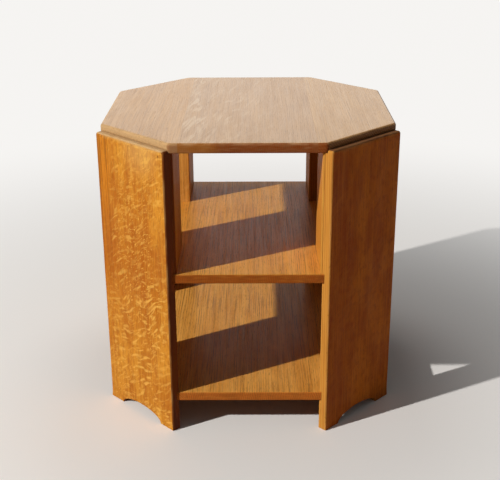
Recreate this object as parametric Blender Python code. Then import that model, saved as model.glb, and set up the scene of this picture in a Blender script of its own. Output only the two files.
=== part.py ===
"""Octagonal oak book table: a top and two shelves cut to one octagon, carried by four slab panels.

The panels stand on the octagon's diagonal sides. Each has a rebate for the top, a through housing
for each shelf and an arched foot. Between the middle shelf and the top, mitred book-end boards
close each corner, and a screwed block inside the corner holds the top down.

Metres, +Z up, the front towards -Y, and the origin on the floor under the middle of the top.
"""

import math

import bmesh
import bpy
from mathutils import Matrix, Vector

# Driving sizes of the whole table
TABLE_HEIGHT = 0.610
ACROSS_FLATS = 0.586
MID_SHELF_TOP = 0.347
LOW_SHELF_TOP = 0.086

# Boards of the top and the shelves
TOP_THICKNESS = 0.019
SHELF_THICKNESS = 0.019
CENTRE_BOARD_WIDTH = 0.260
TOP_ARRIS_RADIUS = 0.005
SHELF_ARRIS_RADIUS = 0.0025

# Slab panels
PANEL_WIDTH = 0.206
PANEL_THICKNESS = 0.019
PANEL_LIP = 0.006
HOUSING_DEPTH = 0.006
ARCH_SPAN = 0.124
ARCH_RISE = 0.019
PANEL_CORNER_RADIUS = 0.006
OUTER_ARRIS_RADIUS = 0.003
INNER_ARRIS_RADIUS = 0.001

# Book-end boards of the upper tier
BOOKEND_THICKNESS = 0.012
BOOKEND_REVEAL = 0.0035
BOOKEND_ARRIS = 0.0008

# Blocks inside the corners, and their screws
BLOCK_LENGTH = 0.080
BLOCK_DEPTH = 0.026
BLOCK_HEIGHT = 0.026
SCREW_INSET = 0.012
SCREW_STAGGER = 0.014
SCREW_BITE = 0.012
SCREW_SHANK_RADIUS = 0.0021
SCREW_HEAD_RADIUS = 0.0042
SCREW_HEAD_DEPTH = 0.0026
SCREW_POINT_LENGTH = 0.004
SCREW_POINT_RADIUS = 0.0007

# Clearances
GLUE_GAP = 0.0003
SCREW_CLEARANCE = 0.0003

# Fineness of round work
ARRIS_SEGMENTS = 3
PANEL_CORNER_SEGMENTS = 5
ARCH_SEGMENTS = 22
SCREW_SIDES = 12
SMOOTH_ANGLE = math.radians(40)

# Sizes that follow from the driving ones
ROOT_2 = math.sqrt(2)
FLAT_DISTANCE = ACROSS_FLATS / 2
DIAGONAL_DISTANCE = ROOT_2 * FLAT_DISTANCE - PANEL_WIDTH / 2
PANEL_INNER = DIAGONAL_DISTANCE - HOUSING_DEPTH
TOP_UNDERSIDE = TABLE_HEIGHT - TOP_THICKNESS
PANEL_HEIGHT = TOP_UNDERSIDE + PANEL_LIP
BAY_HALF_WIDTH = (PANEL_INNER - PANEL_WIDTH / 2) / ROOT_2 - BOOKEND_REVEAL
BLOCK_FACE = PANEL_INNER - GLUE_GAP - BLOCK_DEPTH
BLOCK_BOTTOM = TOP_UNDERSIDE - GLUE_GAP - BLOCK_HEIGHT
TOP_SCREW_SIDE = BLOCK_LENGTH / 2 - SCREW_INSET
PANEL_SCREW_SIDE = TOP_SCREW_SIDE - SCREW_STAGGER

# Corner name, its turn about Z in degrees, and the bays on its two sides
CORNERS = (
    ("back_right", 45, "bookend_back_bay_right", "bookend_right_bay_back"),
    ("back_left", 135, "bookend_left_bay_back", "bookend_back_bay_left"),
    ("front_left", 225, "bookend_front_bay_left", "bookend_left_bay_front"),
    ("front_right", 315, "bookend_right_bay_front", "bookend_front_bay_right"),
)

# Finishes: colour, roughness and metallic value
OAK_TOP = ((0.62, 0.42, 0.24), 0.42, 0.0)
OAK_SHELF = ((0.50, 0.27, 0.10), 0.48, 0.0)
OAK_PANEL = ((0.60, 0.30, 0.07), 0.45, 0.0)
OAK_BOOKEND = ((0.56, 0.28, 0.08), 0.48, 0.0)
PINE_BLOCK = ((0.72, 0.52, 0.29), 0.70, 0.0)
SCREW_STEEL = ((0.45, 0.43, 0.40), 0.40, 1.0)


def clear_scene():
    """Start from an empty scene."""
    for thing in list(bpy.data.objects):
        bpy.data.objects.remove(thing, do_unlink=True)


def finish_material(name, finish):
    """A Principled material with one piece's colour, roughness and metallic value."""
    colour, roughness, metallic = finish
    material = bpy.data.materials.new(name)
    material.use_nodes = True
    shader = material.node_tree.nodes["Principled BSDF"]
    shader.inputs["Base Color"].default_value = (*colour, 1.0)
    shader.inputs["Roughness"].default_value = roughness
    shader.inputs["Metallic"].default_value = metallic
    return material


def mesh_from(bm, name):
    """Turn a finished bmesh into a mesh with smooth round work and crisp edges."""
    bmesh.ops.recalc_face_normals(bm, faces=bm.faces)
    mesh = bpy.data.meshes.new(name)
    bm.to_mesh(mesh)
    bm.free()
    mesh.shade_smooth()
    mesh.set_sharp_from_angle(angle=SMOOTH_ANGLE)
    return mesh


def place(name, mesh, parent, location=(0, 0, 0)):
    """Put a mesh in the scene under its parent."""
    piece = bpy.data.objects.new(name, mesh)
    piece.parent = parent
    piece.location = location
    bpy.context.scene.collection.objects.link(piece)
    return piece


def place_piece(name, mesh, parent, finish, location=(0, 0, 0)):
    """Put one sub-part in the scene with a material of its own."""
    mesh.materials.append(finish_material(name, finish))
    return place(name, mesh, parent, location)


def place_empty(name, parent=None, turn_degrees=0):
    """An empty that carries pieces, turned about Z."""
    empty = place(name, None, parent)
    empty.rotation_euler.z = math.radians(turn_degrees)
    return empty


def cut(piece, cutter):
    """Cut a piece with a hidden wire cutter."""
    cutter.hide_render = True
    cutter.display_type = "WIRE"
    modifier = piece.modifiers.new(cutter.name, "BOOLEAN")
    modifier.operation = "DIFFERENCE"
    modifier.solver = "EXACT"
    modifier.object = cutter


def saw(outline, direction, limit):
    """Saw a plan outline along a line, and keep the side within limit along direction."""
    kept = []
    for start, end in zip(outline, outline[1:] + outline[:1]):
        start_over = start.dot(direction) - limit
        end_over = end.dot(direction) - limit
        if start_over <= 0:
            kept.append(start)
        if start_over * end_over < 0:
            kept.append(start.lerp(end, start_over / (start_over - end_over)))
    return kept


def extrude(bm, points, along):
    """Extrude a flat loop of points into a closed solid."""
    face = bm.faces.new([bm.verts.new(point) for point in points])
    grown = bmesh.ops.extrude_face_region(bm, geom=[face])["geom"]
    moved = [item for item in grown if isinstance(item, bmesh.types.BMVert)]
    bmesh.ops.translate(bm, verts=moved, vec=along)
    bmesh.ops.recalc_face_normals(bm, faces=bm.faces)


def prism(outline, height):
    """A bmesh prism that stands on a plan outline."""
    bm = bmesh.new()
    extrude(bm, [(point.x, point.y, 0) for point in outline], (0, 0, height))
    return bm


def add_box(bm, low, high):
    """Add a box between two corners."""
    loop = [(low[0], low[1]), (high[0], low[1]), (high[0], high[1]), (low[0], high[1])]
    extrude(bm, [(x, y, low[2]) for x, y in loop], (0, 0, high[2] - low[2]))


def round_edges(bm, radius, wanted):
    """Round the edges whose middle point passes a test."""
    edges = [edge for edge in bm.edges if wanted((edge.verts[0].co + edge.verts[1].co) / 2)]
    bmesh.ops.bevel(
        bm,
        geom=edges,
        offset=radius,
        offset_type="OFFSET",
        affect="EDGES",
        segments=ARRIS_SEGMENTS,
        profile=0.5,
        clamp_overlap=True,
    )


def octagon_outline():
    """The octagon shared by the top and the shelves: a square with its corners sawn off."""
    reach = FLAT_DISTANCE
    outline = [Vector(p) for p in ((reach, -reach), (reach, reach), (-reach, reach), (-reach, -reach))]
    for across in (-1, 1):
        for along in (-1, 1):
            outline = saw(outline, Vector((across, along)) / ROOT_2, DIAGONAL_DISTANCE)
    return outline


def board_outlines():
    """The octagon divided into its left, centre and right boards, with a glue gap between them."""
    seam = CENTRE_BOARD_WIDTH / 2
    whole = octagon_outline()
    left, right = Vector((-1, 0)), Vector((1, 0))
    centre = saw(saw(whole, right, seam - GLUE_GAP / 2), left, seam - GLUE_GAP / 2)
    return {
        "left": saw(whole, right, -seam - GLUE_GAP / 2),
        "centre": centre,
        "right": saw(whole, left, -seam - GLUE_GAP / 2),
    }


def on_free_side(point):
    """Whether a point lies on a front, back, left or right side of the octagon."""
    return max(abs(point.x), abs(point.y)) > FLAT_DISTANCE - GLUE_GAP


def on_diagonal_side(point):
    """Whether a point lies on a diagonal side of the octagon."""
    return (abs(point.x) + abs(point.y)) / ROOT_2 > DIAGONAL_DISTANCE - GLUE_GAP


def level_at(point, height):
    """Whether a point lies at a height."""
    return abs(point.z - height) < GLUE_GAP


def make_top(parent, screw_holes):
    """The top: rounded all round above, and below along its free sides only."""

    def arris(point):
        upper = level_at(point, TOP_THICKNESS) and (on_free_side(point) or on_diagonal_side(point))
        return upper or (level_at(point, 0) and on_free_side(point))

    for side, outline in board_outlines().items():
        bm = prism(outline, TOP_THICKNESS)
        round_edges(bm, TOP_ARRIS_RADIUS, arris)
        name = f"top_board_{side}"
        board = place_piece(name, mesh_from(bm, name), parent, OAK_TOP, (0, 0, TOP_UNDERSIDE))
        if side != "centre":
            cut(board, screw_holes)


def make_shelf(parent, prefix, surface):
    """A shelf: rounded along its free sides, and square where it enters the panels."""

    def arris(point):
        level = level_at(point, 0) or level_at(point, SHELF_THICKNESS)
        return level and on_free_side(point)

    for side, outline in board_outlines().items():
        bm = prism(outline, SHELF_THICKNESS)
        round_edges(bm, SHELF_ARRIS_RADIUS, arris)
        name = f"{prefix}_board_{side}"
        underside = (0, 0, surface - SHELF_THICKNESS)
        place_piece(name, mesh_from(bm, name), parent, OAK_SHELF, underside)


def panel_outline():
    """The panel's face as side and height: rounded corners and a half-ellipse arch between the feet."""
    radius = PANEL_CORNER_RADIUS
    right_foot = []
    for step in range(PANEL_CORNER_SEGMENTS + 1):
        turn = math.pi / 2 * step / PANEL_CORNER_SEGMENTS
        side = PANEL_WIDTH / 2 - radius + radius * math.sin(turn)
        right_foot.append((side, radius - radius * math.cos(turn)))
    right_top = [(side, PANEL_HEIGHT - height) for side, height in reversed(right_foot)]
    left_top = [(-side, height) for side, height in reversed(right_top)]
    left_foot = [(-side, height) for side, height in reversed(right_foot)]
    arch = []
    for step in range(ARCH_SEGMENTS + 1):
        turn = math.pi * (1 - step / ARCH_SEGMENTS)
        arch.append((ARCH_SPAN / 2 * math.cos(turn), ARCH_RISE * math.sin(turn)))
    return left_foot + arch + right_foot + right_top + left_top


def panel_solid():
    """A panel before it is housed, with its inner face on the plane x = 0."""
    bm = bmesh.new()
    extrude(bm, [(0, side, height) for side, height in panel_outline()], (PANEL_THICKNESS, 0, 0))
    round_edges(bm, OUTER_ARRIS_RADIUS, lambda point: point.x > PANEL_THICKNESS - GLUE_GAP)
    round_edges(bm, INNER_ARRIS_RADIUS, lambda point: point.x < GLUE_GAP)
    return bm


def panel_cutter_solid():
    """What is cut from a panel: the rebate for the top and the two shelf housings."""
    bm = bmesh.new()
    reach = PANEL_WIDTH
    depth = HOUSING_DEPTH + GLUE_GAP
    levels = [(TOP_UNDERSIDE - GLUE_GAP, PANEL_HEIGHT + HOUSING_DEPTH)]
    for surface in (MID_SHELF_TOP, LOW_SHELF_TOP):
        levels.append((surface - SHELF_THICKNESS - GLUE_GAP, surface + GLUE_GAP))
    for bottom, top in levels:
        add_box(bm, (-PANEL_THICKNESS, -reach, bottom), (depth, reach, top))
    return bm


def bookend_outline():
    """One board in its corner's frame: x out along the diagonal and y along the panel."""
    along_bay = Vector((1, -1)) / ROOT_2
    out = Vector((1, 0))
    side = Vector((0, 1))
    reach = FLAT_DISTANCE
    outline = [Vector(p) for p in ((0, 0), (2 * reach, 0), (2 * reach, reach), (0, reach))]
    outline = saw(outline, -along_bay, -BAY_HALF_WIDTH)
    outline = saw(outline, along_bay, BAY_HALF_WIDTH + BOOKEND_THICKNESS)
    outline = saw(outline, side, PANEL_WIDTH / 2)
    outline = saw(outline, -side, -GLUE_GAP / 2)
    outline = saw(outline, -out, -BAY_HALF_WIDTH * ROOT_2 - BOOKEND_ARRIS)
    return saw(outline, out, PANEL_INNER - GLUE_GAP)


def turned(bm, profile, matrix):
    """Add a solid turned about Z from (radius, height) pairs, moved by a matrix."""
    rings = []
    for radius, height in profile:
        ring = []
        for step in range(SCREW_SIDES):
            turn = 2 * math.pi * step / SCREW_SIDES
            point = Vector((radius * math.cos(turn), radius * math.sin(turn), height))
            ring.append(bm.verts.new(matrix @ point))
        rings.append(ring)
    for lower, upper in zip(rings, rings[1:]):
        for step in range(SCREW_SIDES):
            after = (step + 1) % SCREW_SIDES
            bm.faces.new((lower[step], lower[after], upper[after], upper[step]))
    bm.faces.new(list(reversed(rings[0])))
    bm.faces.new(rings[-1])


def screw_profile(through):
    """A countersunk screw that passes through a block, with its head flush at height 0."""
    length = through + GLUE_GAP + SCREW_BITE
    return (
        (SCREW_HEAD_RADIUS, 0),
        (SCREW_SHANK_RADIUS, SCREW_HEAD_DEPTH),
        (SCREW_SHANK_RADIUS, length - SCREW_POINT_LENGTH),
        (SCREW_POINT_RADIUS, length),
    )


def hole_profile(through):
    """The countersunk hole for that screw, open past the block's face."""
    length = through + GLUE_GAP + SCREW_BITE
    head = SCREW_HEAD_RADIUS + SCREW_CLEARANCE
    shank = SCREW_SHANK_RADIUS + SCREW_CLEARANCE
    return (
        (head, -SCREW_CLEARANCE),
        (head, 0),
        (shank, SCREW_HEAD_DEPTH),
        (shank, length + SCREW_CLEARANCE),
    )


def screw_places():
    """For each kind of screw: what it passes through, and its places in a corner's frame.

    A screw into the top points up from the block's underside. A screw into the panel points outwards
    from the block's inner face.
    """
    middle = BLOCK_FACE + BLOCK_DEPTH / 2
    level = BLOCK_BOTTOM + BLOCK_HEIGHT / 2
    outwards = Matrix.Rotation(math.pi / 2, 4, "Y")
    into_top = []
    into_panel = []
    for side in (-1, 1):
        into_top.append(Matrix.Translation((middle, side * TOP_SCREW_SIDE, BLOCK_BOTTOM)))
        into_panel.append(Matrix.Translation((BLOCK_FACE, side * PANEL_SCREW_SIDE, level)) @ outwards)
    return {"top": (BLOCK_HEIGHT, into_top), "panel": (BLOCK_DEPTH, into_panel)}


def place_hole_cutter(kind, parent):
    """The cutter for all the holes of one kind of screw, at every corner."""
    bm = bmesh.new()
    through, places = screw_places()[kind]
    for _, turn, *_ in CORNERS:
        corner = Matrix.Rotation(math.radians(turn), 4, "Z")
        for matrix in places:
            turned(bm, hole_profile(through), corner @ matrix)
    name = f"{kind}_screw_holes"
    return place(name, mesh_from(bm, name), parent)


def make_panel(parent, corner, screw_holes):
    """A slab panel, rebated for the top, housed for the shelves and drilled for its screws."""
    seat = (PANEL_INNER, 0, 0)
    name = f"panel_{corner}"
    panel = place_piece(name, mesh_from(panel_solid(), name), parent, OAK_PANEL, seat)
    cutter_name = f"panel_cutter_{corner}"
    cut(panel, place(cutter_name, mesh_from(panel_cutter_solid(), cutter_name), parent, seat))
    cut(panel, screw_holes)


def make_bookends(parent, names):
    """The two book-end boards of a corner, mitred together, between the middle shelf and the top."""
    bottom = MID_SHELF_TOP + GLUE_GAP
    height = TOP_UNDERSIDE - GLUE_GAP - bottom
    outline = bookend_outline()
    mirrored = [Vector((point.x, -point.y)) for point in outline]
    for name, plan in zip(names, (outline, mirrored)):
        place_piece(name, mesh_from(prism(plan, height), name), parent, OAK_BOOKEND, (0, 0, bottom))


def make_block(parent, corner, screw_holes):
    """The block inside a corner, against the panel and under the top."""
    bm = bmesh.new()
    add_box(bm, (0, -BLOCK_LENGTH / 2, 0), (BLOCK_DEPTH, BLOCK_LENGTH / 2, BLOCK_HEIGHT))
    name = f"corner_block_{corner}"
    seat = (BLOCK_FACE, 0, BLOCK_BOTTOM)
    block = place_piece(name, mesh_from(bm, name), parent, PINE_BLOCK, seat)
    for holes in screw_holes.values():
        cut(block, holes)


def make_screws(parent, corner):
    """The screws of a corner's block, into the top and into the panel."""
    for kind, (through, places) in screw_places().items():
        for number, matrix in enumerate(places, start=1):
            bm = bmesh.new()
            turned(bm, screw_profile(through), Matrix())
            name = f"{kind}_screw_{corner}_{number}"
            screw = place_piece(name, mesh_from(bm, name), parent, SCREW_STEEL)
            screw.matrix_local = matrix


def main():
    """Build the table."""
    clear_scene()
    table = place_empty("book_table")
    screw_holes = {kind: place_hole_cutter(kind, table) for kind in screw_places()}
    make_top(table, screw_holes["top"])
    make_shelf(table, "mid_shelf", MID_SHELF_TOP)
    make_shelf(table, "low_shelf", LOW_SHELF_TOP)
    for corner, turn, *bookend_names in CORNERS:
        carrier = place_empty(f"corner_{corner}", table, turn)
        make_panel(carrier, corner, screw_holes["panel"])
        make_bookends(carrier, bookend_names)
        make_block(carrier, corner, screw_holes)
        make_screws(carrier, corner)


main()
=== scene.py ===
"""Dress the octagonal book table in waxed oak, in soft studio light, from the photograph's viewing angle.

Every board that shows is rebuilt over its CAD node, in the same place and to the same sizes, with eased and
slightly worn arrises and an oak figure of its own. The blocks and screws inside the closed corners keep
their CAD shapes. Metres, +Z up, the front towards -Y.
"""

import logging
import math
from dataclasses import dataclass, field, replace
from enum import Enum
from typing import Sequence

import bmesh
import bpy
from mathutils import Matrix, Vector, noise


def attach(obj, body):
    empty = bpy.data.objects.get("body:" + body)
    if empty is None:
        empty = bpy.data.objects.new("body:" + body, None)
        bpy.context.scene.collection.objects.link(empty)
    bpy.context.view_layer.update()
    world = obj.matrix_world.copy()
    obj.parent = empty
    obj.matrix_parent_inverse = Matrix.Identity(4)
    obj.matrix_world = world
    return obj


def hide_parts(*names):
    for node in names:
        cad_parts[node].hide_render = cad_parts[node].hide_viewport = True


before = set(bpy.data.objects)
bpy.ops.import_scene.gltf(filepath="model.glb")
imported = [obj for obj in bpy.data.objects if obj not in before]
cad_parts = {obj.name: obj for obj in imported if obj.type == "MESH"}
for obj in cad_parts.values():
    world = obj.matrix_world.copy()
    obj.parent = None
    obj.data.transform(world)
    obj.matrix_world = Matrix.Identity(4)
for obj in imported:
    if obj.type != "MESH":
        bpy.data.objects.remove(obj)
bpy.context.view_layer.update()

log = logging.getLogger("book_table")

Pair = tuple[float, float]
Triple = tuple[float, float, float]
Colour = Triple
Socket = bpy.types.NodeSocket
Value = float | Sequence[float] | Socket

BODY = "root"
WEAR = "wear"
UPPER, LOWER = 0, 1
MIX_SHARE, MIX_FIRST, MIX_SECOND, MIX_RESULT = 0, 6, 7, 2
ROOT_2 = math.sqrt(2)
QUARTER_TURN = math.pi / 2
SMOOTH_ANGLE = math.radians(35)
GENTLE_TURN = math.sin(math.radians(30))
SAME_PLACE = 1e-7
NOISE_MIDDLE = 0.5
NEUTRAL: Colour = (1.0, 1.0, 1.0)
PALE: Colour = (0.92, 0.905, 0.885)
TREE_STEP: Triple = (0.83, 1.37, 0.61)

BOARD_THICKNESS = 0.019
PANEL_WIDTH = 0.206
PANEL_HEIGHT = 0.597
PANEL_INNER = 0.3053646
CORNER_RADIUS = 0.006


class Corner(Enum):
    """The four corners, each with its turn about Z in degrees."""

    BACK_RIGHT = 45
    BACK_LEFT = 135
    FRONT_LEFT = 225
    FRONT_RIGHT = 315

    @property
    def label(self) -> str:
        """The corner's name as the CAD nodes spell it."""
        return self.name.lower()

    @property
    def turn(self) -> Matrix:
        """The turn from the corner's own frame to the table's."""
        return Matrix.Rotation(math.radians(self.value), 4, "Z")


class Edge(Enum):
    """How the upper and the lower arris of one side of a slab are finished, as shares of its radius."""

    ROUNDED = (1.0, 1.0)
    ROUNDED_LESS_BELOW = (1.0, 0.2)
    SQUARE = (0.0, 0.0)


class Lie(Enum):
    """Which of a piece's own axes run across its board's face, along its grain and through it."""

    FLAT = ("X", "Y", "Z")
    UPRIGHT_FACING_X = ("Y", "Z", "X")
    UPRIGHT_FACING_Y = ("X", "Z", "Y")


class Cut(Enum):
    """How a board was sawn: where the tree's middle lies, across its face and below it, in metres."""

    QUARTERED = (-0.42, -0.03)
    RIFT = (-0.30, -0.16)
    PLAIN = (0.03, -0.09)


@dataclass(frozen=True)
class Unevenness:
    """How hand work and use have left an arris a little uneven, in long waves and short ripples."""

    share: float = 0.12
    wave: float = 0.050
    wave_part: float = 1.2
    ripple: float = 0.011
    ripple_part: float = 0.6
    ripple_shift: float = 11.3
    seed_step: float = 3.7

    def at(self, point: Vector, seed: int) -> float:
        """The factor on an arris radius at a point.

        Args:
            point: Where along the arris.
            seed: The board's own number.

        Returns:
            A factor about 1.
        """
        place = Vector((point.x, point.y, seed * self.seed_step))
        slow = noise.noise(Vector((place.x / self.wave, place.y / self.wave, place.z)))
        shifted = place.z + self.ripple_shift
        quick = noise.noise(Vector((place.x / self.ripple, place.y / self.ripple, shifted)))
        return 1 + self.share * (self.wave_part * slow + self.ripple_part * quick)


@dataclass(frozen=True)
class RubbedShoulder(Unevenness):
    """The same on a panel, with the middle of its top edge rubbed rounder by hands and its feet square."""

    level: float = PANEL_HEIGHT
    half_width: float = PANEL_WIDTH / 2
    corner: float = CORNER_RADIUS
    near: float = 1e-4
    extra: float = 1.40
    fade: float = 0.014
    foot: float = 0.25
    foot_fade: float = 0.020

    def at(self, point: Vector, seed: int) -> float:
        """The factor on an arris radius at a point of the panel's face.

        Args:
            point: Where along the arris.
            seed: The board's own number.

        Returns:
            A factor about 1, more along the top edge and less at the feet.
        """
        inside = (self.half_width - abs(point.x) - self.corner) / self.fade
        share = min(1.0, max(0.0, inside)) if point.y > self.level - self.near else 0.0
        foot = self.foot + (1 - self.foot) * min(1.0, max(0.0, point.y / self.foot_fade))
        return super().at(point, seed) * (1 + self.extra * share) * foot


def saw(outline: list[Vector], direction: Vector, limit: float) -> list[Vector]:
    """Saw a plan outline along a line.

    Args:
        outline: The outline's corners in order.
        direction: The direction square to the saw cut.
        limit: How far along that direction wood is kept.

    Returns:
        The corners of the kept side.
    """
    kept = []
    for start, end in zip(outline, outline[1:] + outline[:1]):
        start_over = start.dot(direction) - limit
        end_over = end.dot(direction) - limit
        if start_over <= 0:
            kept.append(start)
        if start_over * end_over < 0:
            kept.append(start.lerp(end, start_over / (start_over - end_over)))
    return kept


def ease_corners(outline: list[Vector], radius: float, steps: int) -> list[Vector]:
    """Round every corner of a convex plan outline.

    Args:
        outline: The outline's corners in order.
        radius: The distance from each corner at which the rounding starts.
        steps: How many straight pieces each rounding has.

    Returns:
        The eased outline.
    """
    eased = []
    count = len(outline)
    for index, corner in enumerate(outline):
        before = outline[index - 1] - corner
        after = outline[(index + 1) % count] - corner
        start = corner + before.normalized() * radius
        end = corner + after.normalized() * radius
        for step in range(steps + 1):
            share = step / steps
            eased.append(start.lerp(corner, share).lerp(corner.lerp(end, share), share))
    return eased


@dataclass
class Slab:
    """A flat board lofted through rings of one outline, with arrises that are round where asked.

    The outline lies in the plane z = 0 and runs anticlockwise, and the board grows towards +z.
    """

    outline: list[Vector]
    edges: list[Edge]
    thickness: float
    upper_radius: float = 0.0
    lower_radius: float = 0.0
    seed: int = 0
    lower_seed_step: int = 5
    step: float = 0.008
    worn_band: float = 0.0055
    arris_steps: int = 5
    unevenness: Unevenness = field(default_factory=Unevenness)

    def stations(self) -> list[tuple[Vector, Edge, Edge]]:
        """Every point of the outline at close steps.

        Returns:
            The points, each with the edges before and after it.
        """
        found = []
        count = len(self.outline)
        for index, start in enumerate(self.outline):
            end = self.outline[(index + 1) % count]
            edge = self.edges[index]
            pieces = 1 if edge is Edge.SQUARE else max(1, round((end - start).length / self.step))
            for part in range(pieces):
                before = self.edges[index - 1] if part == 0 else edge
                found.append((start.lerp(end, part / pieces), before, edge))
        return found

    def rings(self) -> list[tuple[int, float, float, float]]:
        """The rings from the lower face to the upper one.

        Returns:
            For each ring the arris it belongs to, its inset, its height and its wear.
        """
        made = []
        for arris, radius in ((LOWER, self.lower_radius), (UPPER, self.upper_radius)):
            face = self.thickness if arris == UPPER else 0.0
            steps = self.arris_steps if radius else 0
            band = []
            for step in range(steps + 1):
                turn = QUARTER_TURN * step / self.arris_steps
                drop = radius * (1 - math.sin(turn))
                height = face - drop if arris == UPPER else drop
                band.append((arris, radius * (1 - math.cos(turn)), height, math.sin(2 * turn)))
            if radius and self.worn_band:
                band.append((arris, radius + self.worn_band, face, 0.0))
            made.extend(band if arris == UPPER else reversed(band))
        return made

    def loft(self) -> bmesh.types.BMesh:
        """Loft the slab.

        Returns:
            A closed bmesh with a wear value at each vertex.
        """
        bm = bmesh.new()
        wear = bm.verts.layers.float.new(WEAR)
        stations = self.stations()
        count = len(stations)
        inwards = []
        for index, (point, _, _) in enumerate(stations):
            along = (stations[(index + 1) % count][0] - point).normalized()
            inwards.append(Vector((-along.y, along.x)))
        rows = []
        for arris, inset, height, worn in self.rings():
            row = []
            for index, (point, before, after) in enumerate(stations):
                factor = self.unevenness.at(point, self.seed + self.lower_seed_step * arris)
                first = inset * before.value[arris] * factor
                second = inset * after.value[arris] * factor
                moved = self.moved(point, inwards[index - 1], inwards[index], first, second)
                vertex = bm.verts.new((moved.x, moved.y, height))
                vertex[wear] = worn * max(before.value[arris], after.value[arris])
                row.append(vertex)
            rows.append(row)
        for lower, upper in zip(rows, rows[1:]):
            for index in range(count):
                after = (index + 1) % count
                bm.faces.new((lower[index], lower[after], upper[after], upper[index]))
        bm.faces.new(list(reversed(rows[0])))
        bm.faces.new(rows[-1])
        bmesh.ops.remove_doubles(bm, verts=bm.verts, dist=SAME_PLACE)
        bmesh.ops.dissolve_degenerate(bm, edges=bm.edges, dist=SAME_PLACE)
        bmesh.ops.recalc_face_normals(bm, faces=bm.faces)
        return bm

    @staticmethod
    def moved(point: Vector, first: Vector, second: Vector, by_first: float, by_second: float) -> Vector:
        """Move a corner so that its two sides move in by their own distances.

        Args:
            point: The corner.
            first: The inward direction of the side before it.
            second: The inward direction of the side after it.
            by_first: How far the side before it moves in.
            by_second: How far the side after it moves in.

        Returns:
            The moved corner.
        """
        area = first.x * second.y - first.y * second.x
        if abs(area) < GENTLE_TURN:
            both = first + second
            return point + both * (by_first + by_second) / both.length_squared
        one = first.dot(point) + by_first
        two = second.dot(point) + by_second
        return Vector(((one * second.y - two * first.y) / area, (two * first.x - one * second.x) / area))


def smooth(mesh: bpy.types.Mesh) -> None:
    """Shade a mesh smooth, apart from its sharp edges."""
    mesh.shade_smooth()
    mesh.set_sharp_from_angle(angle=SMOOTH_ANGLE)


def mesh_from(bm: bmesh.types.BMesh, name: str) -> bpy.types.Mesh:
    """Turn a bmesh into a mesh with smooth arrises.

    Args:
        bm: The finished bmesh, which is freed.
        name: The mesh's name.

    Returns:
        The mesh.
    """
    mesh = bpy.data.meshes.new(name)
    bm.to_mesh(mesh)
    bm.free()
    smooth(mesh)
    return mesh


def put(name: str, data: bpy.types.ID, matrix: Matrix | None = None) -> bpy.types.Object:
    """Put a mesh, a lamp or a camera in the scene.

    Args:
        name: The object's name.
        data: Its data.
        matrix: Where it goes, if not at the origin.

    Returns:
        The object.
    """
    thing = bpy.data.objects.new(name, data)
    if matrix is not None:
        thing.matrix_world = matrix
    bpy.context.scene.collection.objects.link(thing)
    return thing


def hand_over(piece: bpy.types.Object, node: str) -> None:
    """Let a dressed piece stand for its CAD node.

    Args:
        piece: The finished piece.
        node: The CAD node it stands for.
    """
    shading = piece.modifiers.new("even_shading", "WEIGHTED_NORMAL")
    shading.keep_sharp = True
    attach(piece, BODY)
    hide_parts(node)
    log.info("%s stands for %s", piece.name, node)


@dataclass(frozen=True)
class Clouds:
    """A cloudy pattern.

    Attributes:
        scale: Clouds to the metre on each axis.
        ends: Where its patches begin and where they are whole, or what its least and greatest become.
        detail: How many finer layers it has.
        roughness: How strong they are.
    """

    scale: Triple
    ends: Pair = (0.0, 1.0)
    detail: float = 2.0
    roughness: float = 0.5


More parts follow.
